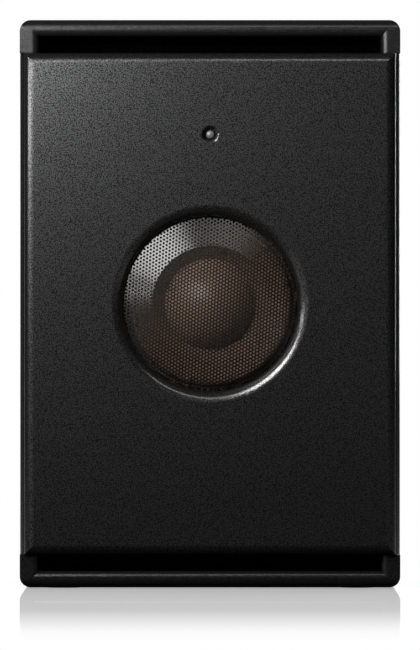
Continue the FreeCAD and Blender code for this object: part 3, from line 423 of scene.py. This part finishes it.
@dataclass
class Grille:
    """The formed steel sheet in front of the driver, punched in staggered rows. Sizes are in millimetres."""

    pitch: float = 3.5
    hole: float = 2.4
    turn: float = 26.5
    sheet: float = 0.6
    shoulder: float = 56.5
    foot: float = 83.8
    edge: float = 93.3
    skirt: float = 4.5
    rise: float = 11.0
    crown: float = 1.5
    bend: float = 2.0
    sides: int = 12

    def depth(self, radius: float) -> float:
        """Gives how far behind its crown the sheet's face is.

        Args:
            radius: The distance from the grille's axis.

        Returns:
            The depth behind the crown.
        """
        slope = self.rise / (self.foot - self.shoulder)
        dome = self.crown * (radius / self.shoulder) ** 2
        flank = self.crown + (radius - self.shoulder) * slope
        if radius < self.shoulder - self.bend:
            return dome
        if radius < self.shoulder + self.bend:
            share = (radius - self.shoulder + self.bend) / (2 * self.bend)
            return dome + (flank - dome) * share * share * (3 - 2 * share)
        return flank

    def section(self, run: float, back: float) -> tuple[float, float]:
        """Lays the flat sheet over the dome, down the skirt and out along the flange.

        Args:
            run: The distance from the middle along the flat sheet.
            back: How far behind the sheet's face.

        Returns:
            The distance from the grille's axis and the depth behind the crown.
        """
        if run <= self.foot:
            return run, self.depth(run) + back
        down = min(run - self.foot, self.skirt)
        out = run - self.foot - down
        return self.foot + out - back, self.crown + self.rise + down + back

    def lay_out(self) -> FlatSheet:
        """Punches the flat sheet and trims it to a round edge.

        Returns:
            The flat sheet.
        """
        flat = FlatSheet()
        start = math.radians(self.turn)
        edge = self.edge + self.skirt
        limit = edge - self.pitch / 2
        # Rows run at 60 degrees, so a row's number can pass the radius in pitches by a sixth.
        count = int(limit / self.pitch * 1.2) + 2
        ways = [(self.pitch * math.cos(start + a), self.pitch * math.sin(start + a)) for a in (0.0, math.pi / 3)]
        for i in range(-count, count + 1):
            for j in range(-count, count + 1):
                x = i * ways[0][0] + j * ways[1][0]
                z = i * ways[0][1] + j * ways[1][1]
                if math.hypot(x, z) <= limit:
                    flat.punch(x, z, self.pitch, self.hole, start, self.sides)
        for index in {i for pair in flat.open_edges() for i in pair}:
            x, z = flat.points[index]
            grow = edge / math.hypot(x, z)
            flat.points[index] = (x * grow, z * grow)
        return flat

    def build(self) -> None:
        """Builds the punched sheet in the place of the coarse one."""
        flat = self.lay_out()
        low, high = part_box("grille_mesh")
        centre = (low + high) / 2
        total = len(flat.points)
        points: list[Point] = []
        for back in (0.0, self.sheet):
            for x, z in flat.points:
                run = math.hypot(x, z)
                radius, deep = self.section(run, back)
                share = radius / run * MM
                points.append((centre.x + x * share, low.y + deep * MM, centre.z + z * share))
        faces: list[Face] = []
        for cell in flat.cells:
            faces.append(cell)
            faces.append(tuple(i + total for i in reversed(cell)))
        faces += [(a, b, b + total, a + total) for a, b in flat.rims]
        faces += [(b, a, a + total, b + total) for a, b in flat.open_edges()]
        made = add_mesh("punched_grille", points, faces, PAINTED_SHEET)
        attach(made, "cabinet")
        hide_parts("grille_mesh")
        dress(PAINTED_SHEET, "grille_clamp_ring")


@dataclass
class StatusLight:
    """The unlit lamp in its well above the driver."""

    def dress(self) -> None:
        """Gives the lens and what holds it their finishes."""
        dress(FROSTED_ACRYLIC, "status_lens")
        dress(MATT_NYLON, "lens_holder")
        dress(GREEN_LAMINATE, "lamp_board")


@dataclass
class Driver:
    """The loudspeaker behind the grille. Sizes are in millimetres, depths from the cabinet's front."""

    sectors: int = 12
    steps: int = 8
    roll_points: int = 12
    seat: float = 3.0
    roll_radius: float = 6.5
    roll_centre: float = 85.0
    rubber: float = 1.2
    rubber_lip: float = 6.5
    rubber_inner: float = 72.9
    cloth: float = 0.8
    cloth_seat: float = 47.0
    cloth_inner: float = 36.6
    cloth_collar: float = 2.5
    cloth_outer: float = 66.0
    cloth_lip: float = 5.0
    waves: int = 5
    wave_points: int = 8
    wave_height: float = 2.4

    def roll_profile(self) -> Profile:
        """Draws the surround's section.

        Returns:
            Radius and depth of each point, round the section.
        """
        lip = self.seat - self.rubber
        front = [(self.roll_centre + self.roll_radius + self.rubber / 2 + self.rubber_lip, lip)]
        inner = self.roll_radius - self.rubber / 2
        outer = self.roll_radius + self.rubber / 2
        turns = [math.pi * k / self.roll_points for k in range(self.roll_points + 1)]
        front += [(self.roll_centre + inner * math.cos(a), lip + inner * math.sin(a)) for a in turns]
        front.append((self.rubber_inner, lip))
        tilt = math.asin(self.rubber / outer)
        turns = [math.pi - tilt - (math.pi - 2 * tilt) * k / self.roll_points for k in range(self.roll_points + 1)]
        back = [(self.rubber_inner, self.seat)]
        back += [(self.roll_centre + outer * math.cos(a), lip + outer * math.sin(a)) for a in turns]
        back.append((front[0][0], self.seat))
        return front + back

    def cloth_profile(self) -> Profile:
        """Draws the spider's section.

        Returns:
            Radius and depth of each point, round the section.
        """
        first = self.cloth_inner + self.cloth_collar
        span = self.cloth_outer - first
        count = self.waves * self.wave_points
        front = [(self.cloth_inner, self.cloth_seat - self.cloth)]
        for k in range(count + 1):
            swell = 0.5 - 0.5 * math.cos(2 * math.pi * self.waves * k / count)
            front.append((first + span * k / count, self.cloth_seat - self.cloth - self.wave_height * swell))
        front.append((self.cloth_outer + self.cloth_lip, self.cloth_seat - self.cloth))
        return front + [(radius, depth + self.cloth) for radius, depth in reversed(front)]

    def flexing_ring(self, name: str, node: str, profile: Profile, finish: Finish) -> None:
        """Builds a ring in sectors, each running from the basket to the cone.

        Args:
            name: The sectors' name.
            node: The CAD node that they stand for.
            profile: The section.
            finish: Its finish.
        """
        low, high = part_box(node)
        centre = (low + high) / 2
        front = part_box("cabinet_shell")[0].y
        share = 2 * math.pi / self.sectors
        size = len(profile)
        for sector in range(self.sectors):
            points: list[Point] = []
            faces: list[Face] = []
            for step in range(self.steps + 1):
                angle = share * (sector - 0.5 + step / self.steps)
                points += [(centre.x + r * MM * math.cos(angle), front + d * MM, centre.z + r * MM * math.sin(angle))
                           for r, d in profile]
            for step in range(self.steps):
                for k in range(size):
                    n = (k + 1) % size
                    faces.append((step * size + k, step * size + n, (step + 1) * size + n, (step + 1) * size + k))
            faces.append(tuple(range(size)))
            faces.append(tuple(self.steps * size + k for k in reversed(range(size))))
            made = add_mesh(f"{name}_{sector + 1}", points, faces, finish, smooth=True)
            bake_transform(made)
            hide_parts(node)

    def build(self) -> None:
        """Builds the surround and the spider, each as a ring of sectors."""
        self.flexing_ring("surround_sector", "surround", self.roll_profile(),
                          BROWN_RUBBER)
        self.flexing_ring("spider_sector", "spider", self.cloth_profile(),
                          DIPPED_COTTON)

    def dress(self) -> None:
        """Gives the driver's pieces their finishes."""
        dress(DARK_PULP, "cone")
        dress(PRESSED_PULP, "dust_cap")
        dress(CUT_FOAM, "driver_gasket")
        dress(COATED_CASTING, "driver_basket")
        dress(ROLLED_ALUMINIUM, "voice_coil_former")
        dress(COPPER_WIRE, "voice_coil_winding")
        dress(ZINC_PLATE, "top_plate", "pole_yoke", "driver_screws")
        dress(GROUND_FERRITE, "ring_magnet")
        dress(GREEN_LAMINATE, "driver_terminals")


@dataclass
class Amplifier:
    """The plate on the rear with its controls, sockets and what is behind it. Sizes are in millimetres."""

    marks: int = 11
    sweep: float = 150.0
    mark_near: float = 11.5
    mark_far: float = 14.5
    mark_width: float = 0.9
    print_thickness: float = 0.1
    line_length: float = 7.0
    line_width: float = 1.2
    line_depth: float = 0.7
    line_sunk: float = 0.1

    def bar(self, centre: Vector, turn: float, reach: tuple[float, float], width: float,
            depth: tuple[float, float]) -> tuple[list[Point], list[Face]]:
        """Draws a bar that lies along a ray from a control's axis.

        Args:
            centre: The axis, in metres.
            turn: The ray's angle in radians, clockwise from straight up as seen along the depth.
            reach: Where along the ray it starts and ends.
            width: How wide it is.
            depth: Where its front and its rear are, in metres.

        Returns:
            Its points in metres and its faces.
        """
        half = width / 2
        corners = [(-half, reach[0]), (half, reach[0]), (half, reach[1]), (-half, reach[1])]
        points = [(centre.x + (u * math.cos(turn) + v * math.sin(turn)) * MM, deep,
                   centre.z + (v * math.cos(turn) - u * math.sin(turn)) * MM) for deep in depth for u, v in corners]
        sides = [(k, k + 4, (k + 1) % 4 + 4, (k + 1) % 4) for k in range(4)]
        return points, [(0, 1, 2, 3), (7, 6, 5, 4)] + sides

    def dial(self, control: str) -> None:
        """Prints the marks round a knob and fills its line.

        Args:
            control: What the knob sets, as in its node's name.
        """
        low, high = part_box(f"{control}_knob")
        centre = (low + high) / 2
        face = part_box("amplifier_plate")[1].y
        points: list[Point] = []
        faces: list[Face] = []
        for k in range(self.marks):
            turn = math.radians(self.sweep * (2 * k / (self.marks - 1) - 1))
            more, sides = self.bar(centre, turn, (self.mark_near, self.mark_far), self.mark_width,
                                   (face, face + self.print_thickness * MM))
            faces += [tuple(i + len(points) for i in side) for side in sides]
            points += more
        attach(add_mesh(f"{control}_dial_marks", points, faces, WHITE_EPOXY), "cabinet")
        end = high.y
        points, faces = self.bar(centre, 0.0, (0.0, self.line_length), self.line_width,
                                 (end - self.line_depth * MM, end - self.line_sunk * MM))
        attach(add_mesh(f"{control}_knob_line", points, faces, WHITE_EPOXY), f"{control}_control")

    def build(self) -> None:
        """Adds the paint on the dials."""
        self.dial("level")
        self.dial("crossover")

    def dress(self) -> None:
        """Gives the amplifier's pieces their finishes."""
        dress(ANODISED_BLACK, "amplifier_plate", "heat_sink")
        dress(CUT_FOAM, "amplifier_gasket", "transformer_pad")
        dress(BLACKENED_STEEL, "amplifier_screws")
        dress(WOUND_TAPE, "power_transformer")
        dress(ZINC_PLATE, "transformer_washer", "transformer_bolt", "board_standoffs")
        dress(GREEN_LAMINATE, "circuit_board")
        dress(SHRUNK_SLEEVE, "capacitors")
        dress(NICKEL_PLATE, "level_pot", "level_shaft", "crossover_pot", "crossover_shaft", "output_sockets",
              "phase_switch_body", "phase_lever")
        dress(MOULDED_ABS, "level_knob", "crossover_knob", "input_sockets", "power_inlet", "fuse_holder",
              "power_switch_body", "power_rocker")
        dress(PLATED_BRASS, "output_pins", "inlet_blades")
        dress(EXTRUDED_VINYL, "speaker_cable")


@dataclass(frozen=True)
class Softbox:
    """A lamp with an even face. Sizes are in metres, and a radiance of one is white."""

    name: str
    place: Point
    aim: Point
    size: tuple[float, float]
    radiance: float

    def hang(self) -> None:
        """Hangs the lamp, facing its aim."""
        data = bpy.data.lights.new(self.name, "AREA")
        data.shape = "RECTANGLE"
        data.size, data.size_y = self.size
        data.energy = self.radiance * math.pi * self.size[0] * self.size[1]
        made = bpy.data.objects.new(self.name, data)
        made.location = self.place
        made.rotation_euler = (Vector(self.aim) - Vector(self.place)).to_track_quat("-Z", "Y").to_euler()
        made.visible_camera = False
        bpy.context.scene.collection.objects.link(made)


# The key hangs high on the left, the strips light the edges, and the last softbox lights the rear from high behind.
SOFTBOXES = (
    Softbox("key_softbox", (-0.59, -1.216, 1.02), (0.12, -0.22, 1.42), (0.726, 0.946), 34.0),
    Softbox("side_strip", (-1.337, -1.019, 0.49), (-0.1, -0.22, 0.40), (1.0, 0.03), 95.0),
    Softbox("top_strip", (0.35, -1.22, 1.30), (0.10, -0.22, 0.50), (1.0, 0.10), 16.0),
    Softbox("right_strip", (0.86, 1.68, 0.65), (0.18, 0.0, 0.35), (0.12, 0.90), 10.0),
    Softbox("left_strip", (-0.86, 1.68, 0.25), (-0.18, 0.0, 0.25), (0.12, 0.40), 1.5),
    Softbox("rear_softbox", (0.62, 1.25, 1.05), (-0.10, 0.22, 1.25), (0.70, 0.90), 24.0),
)


@dataclass
class Studio:
    """The white studio: floor, world, cards, lamps and camera. Sizes are in metres.

    A pair named for a range holds where a change starts and where it ends.
    """

    distance: float = 12.0
    pixels_across: float = 380.6
    object_width: float = 0.370
    raised_pixels: float = 21.25
    sensor: float = 36.0
    clip_end: float = 60.0
    fill: float = 0.08
    gloss_range: tuple[float, float] = (0.2, 0.6)
    gloss_levels: tuple[float, float] = (0.02, 0.06)
    floor_half: float = 14.0
    floor_seen: str = "#f4f4f4"
    floor_unseen: str = "#2a2a2a"
    white_range: tuple[float, float] = (0.5, 1.2)
    white_near: float = 0.9
    band_start_range: tuple[float, float] = (0.3, 0.6)
    band_end_range: tuple[float, float] = (1.1, 1.7)
    band_level: float = 0.6
    band_rest: float = 0.1
    glance_range: tuple[float, float] = (0.8, 0.96)
    card_half: float = 0.8
    card_height: float = 0.45
    card_lift: float = 0.002
    card_inset: float = 0.033
    card_level: float = 0.12
    mirror_places: tuple[tuple[float, float], ...] = (
        (-2.064, 0.0), (-1.753, 0.053), (-1.422, 0.224), (-1.07, 0.407), (-0.334, 0.527), (-0.2, 0.56), (0.3, 0.0))

    def camera(self) -> None:
        """Sets the camera straight in front, at the height of the baffle's middle."""
        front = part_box("upper_port_frame")[0].y
        low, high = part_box("cabinet_shell")
        lens = self.pixels_across / self.object_width * self.distance * self.sensor / IMAGE_HEIGHT
        data = bpy.data.cameras.new("studio_camera")
        data.sensor_width = self.sensor
        data.lens = lens
        data.shift_y = -self.raised_pixels / IMAGE_HEIGHT
        data.clip_end = self.clip_end
        made = bpy.data.objects.new("studio_camera", data)
        made.location = (0.0, front - self.distance, (low.z + high.z) / 2)
        made.rotation_euler = (math.pi / 2, 0.0, 0.0)
        bpy.context.scene.collection.objects.link(made)
        bpy.context.scene.camera = made

    def world(self) -> None:
        """Makes a white backdrop that the eye and gloss see behind the object, and a weak fill."""
        world = bpy.data.worlds.new("studio_world")
        bpy.context.scene.world = world
        world.use_nodes = True
        tree = world.node_tree
        tree.nodes.clear()
        path = add_node(tree, "ShaderNodeLightPath")
        way = add_node(tree, "ShaderNodeTexCoord").outputs["Generated"]
        deep = add_node(tree, "ShaderNodeSeparateXYZ", {0: way}).outputs["Y"]
        behind = add_node(tree, "ShaderNodeMapRange", {
            "Value": deep, "From Min": self.gloss_range[0], "From Max": self.gloss_range[1],
            "To Min": self.gloss_levels[0], "To Max": self.gloss_levels[1]})
        seen = add_node(tree, "ShaderNodeMath", {0: path.outputs["Is Camera Ray"],
                                                 1: path.outputs["Is Transmission Ray"]}, operation="MAXIMUM")
        seen = add_node(tree, "ShaderNodeMath", {0: seen.outputs[0], 1: path.outputs["Is Singular Ray"]},
                        operation="MAXIMUM")
        gloss = add_node(tree, "ShaderNodeMath", {0: path.outputs["Is Glossy Ray"], 1: behind.outputs[0]},
                         operation="MULTIPLY")
        level = add_node(tree, "ShaderNodeMath", {0: seen.outputs[0], 1: gloss.outputs[0]}, operation="MAXIMUM")
        fill = add_node(tree, "ShaderNodeMath", {0: path.outputs["Is Diffuse Ray"], 1: self.fill, 2: level.outputs[0]},
                        operation="MULTIPLY_ADD")
        light = add_node(tree, "ShaderNodeBackground", {"Strength": fill.outputs[0]})
        light.inputs["Color"].default_value = srgb(WHITE)
        add_node(tree, "ShaderNodeOutputWorld", {"Surface": light.outputs[0]})

    def floor(self) -> None:
        """Lays a white floor with a reflection that fades towards the camera and a band that the gloss sees."""
        half = self.floor_half
        mesh = bpy.data.meshes.new("studio_floor")
        mesh.from_pydata([(-half, -half, 0.0), (half, -half, 0.0), (half, half, 0.0), (-half, half, 0.0)], [],
                         [(0, 1, 2, 3)])
        made = bpy.data.objects.new("studio_floor", mesh)
        bpy.context.scene.collection.objects.link(made)
        surface = bpy.data.materials.new("studio_floor_acrylic")
        surface.use_nodes = True
        tree = surface.node_tree
        tree.nodes.clear()
        path = add_node(tree, "ShaderNodeLightPath")
        place = add_node(tree, "ShaderNodeNewGeometry").outputs["Position"]
        away = add_node(tree, "ShaderNodeVectorMath", {0: place}, operation="LENGTH").outputs["Value"]
        axes = add_node(tree, "ShaderNodeSeparateXYZ", {0: place})
        deep = axes.outputs["Y"]
        across = add_node(tree, "ShaderNodeMath", {0: axes.outputs["X"]}, operation="ABSOLUTE")
        aside = add_node(tree, "ShaderNodeMath", {0: across.outputs[0], 1: deep}, operation="MAXIMUM")
        beyond = add_node(tree, "ShaderNodeMapRange", {
            "Value": aside.outputs[0], "From Min": self.band_start_range[0], "From Max": self.band_start_range[1],
            "To Max": self.band_level})
        within = add_node(tree, "ShaderNodeMapRange", {
            "Value": aside.outputs[0], "From Min": self.band_end_range[0], "From Max": self.band_end_range[1],
            "To Min": 1.0, "To Max": self.band_rest})
        band = add_node(tree, "ShaderNodeMath", {0: beyond.outputs[0], 1: within.outputs[0]}, operation="MULTIPLY")
        gloss = add_node(tree, "ShaderNodeMath", {0: path.outputs["Is Glossy Ray"], 1: band.outputs[0]},
                         operation="MULTIPLY")
        seen = add_node(tree, "ShaderNodeMath", {0: path.outputs["Is Camera Ray"], 1: gloss.outputs[0]},
                        operation="MAXIMUM")
        seen = add_node(tree, "ShaderNodeMath", {0: seen.outputs[0], 1: path.outputs["Is Transmission Ray"]},
                        operation="MAXIMUM")
        plain = add_node(tree, "ShaderNodeMapRange", {
            "Value": away, "From Min": self.white_range[0], "From Max": self.white_range[1],
            "To Min": self.white_near})
        share = add_node(tree, "ShaderNodeMath", {0: seen.outputs[0], 1: plain.outputs[0]}, operation="MULTIPLY")
        tone = add_node(tree, "ShaderNodeMix", {
            0: path.outputs["Is Camera Ray"], 6: srgb(self.floor_unseen), 7: srgb(self.floor_seen)}, data_type="RGBA")
        chalk = add_node(tree, "ShaderNodeBsdfDiffuse", {"Color": tone.outputs[2]})
        white = add_node(tree, "ShaderNodeEmission", {"Color": srgb(WHITE), "Strength": 1.0})
        base = add_node(tree, "ShaderNodeMixShader", {0: share.outputs[0], 1: chalk.outputs[0], 2: white.outputs[0]})
        first, last = self.mirror_places[0][0], self.mirror_places[-1][0]
        along = add_node(tree, "ShaderNodeMapRange", {"Value": deep, "From Min": first, "From Max": last})
        ramp = add_node(tree, "ShaderNodeValToRGB", {0: along.outputs[0]})
        stops = ramp.color_ramp.elements
        while len(stops) < len(self.mirror_places):
            stops.new(0.5)
        for stop, (at, level) in zip(stops, self.mirror_places):
            stop.position = (at - first) / (last - first)
            stop.color = (level, level, level, 1.0)
        mirror = add_node(tree, "ShaderNodeBsdfGlossy", {"Color": srgb(WHITE), "Roughness": 0.0})
        glance = add_node(tree, "ShaderNodeLayerWeight", {"Blend": 0.5}).outputs["Facing"]
        low = add_node(tree, "ShaderNodeMapRange", {
            "Value": glance, "From Min": self.glance_range[0], "From Max": self.glance_range[1]})
        shine = add_node(tree, "ShaderNodeMath", {0: ramp.outputs[0], 1: low.outputs[0]}, operation="MULTIPLY")
        shine = add_node(tree, "ShaderNodeMath", {0: shine.outputs[0], 1: path.outputs["Is Camera Ray"]},
                         operation="MULTIPLY")
        both = add_node(tree, "ShaderNodeMixShader", {0: shine.outputs[0], 1: base.outputs[0], 2: mirror.outputs[0]})
        add_node(tree, "ShaderNodeOutputMaterial", {"Surface": both.outputs[0]})
        mesh.materials.append(surface)

    def card(self, name: str, deep: float) -> None:
        """Stands a grey card over an upper edge, which keeps a softbox's glare off the top.

        Args:
            name: The card's name.
            deep: Where it stands along the depth.
        """
        half = self.card_half
        low = CAD_BOX[1][2] + self.card_lift
        high = low + self.card_height
        mesh = bpy.data.meshes.new(name)
        mesh.from_pydata([(-half, deep, low), (half, deep, low), (half, deep, high), (-half, deep, high)], [],
                         [(0, 1, 2, 3)])
        made = bpy.data.objects.new(name, mesh)
        made.visible_camera = False
        bpy.context.scene.collection.objects.link(made)
        surface = bpy.data.materials.new("studio_card_paper")
        surface.use_nodes = True
        tree = surface.node_tree
        tree.nodes.clear()
        glow = add_node(tree, "ShaderNodeEmission", {"Color": srgb(WHITE), "Strength": self.card_level})
        add_node(tree, "ShaderNodeOutputMaterial", {"Surface": glow.outputs[0]})
        mesh.materials.append(surface)

    def build(self) -> None:
        """Builds the studio."""
        bpy.context.scene.view_settings.view_transform = "Standard"
        self.camera()
        self.world()
        self.floor()
        self.card("front_card", CAD_BOX[0][1] + self.card_inset)
        self.card("rear_card", CAD_BOX[1][1] - self.card_inset)
        for softbox in SOFTBOXES:
            softbox.hang()


def main() -> None:
    """Builds and dresses each sub-assembly in order."""
    logging.basicConfig(level=logging.INFO, format="%(name)s %(message)s")
    Cabinet().dress()
    Grille().build()
    StatusLight().dress()
    driver = Driver()
    driver.dress()
    driver.build()
    amplifier = Amplifier()
    amplifier.dress()
    amplifier.build()
    Studio().build()


if __name__ == "__main__":
    main()
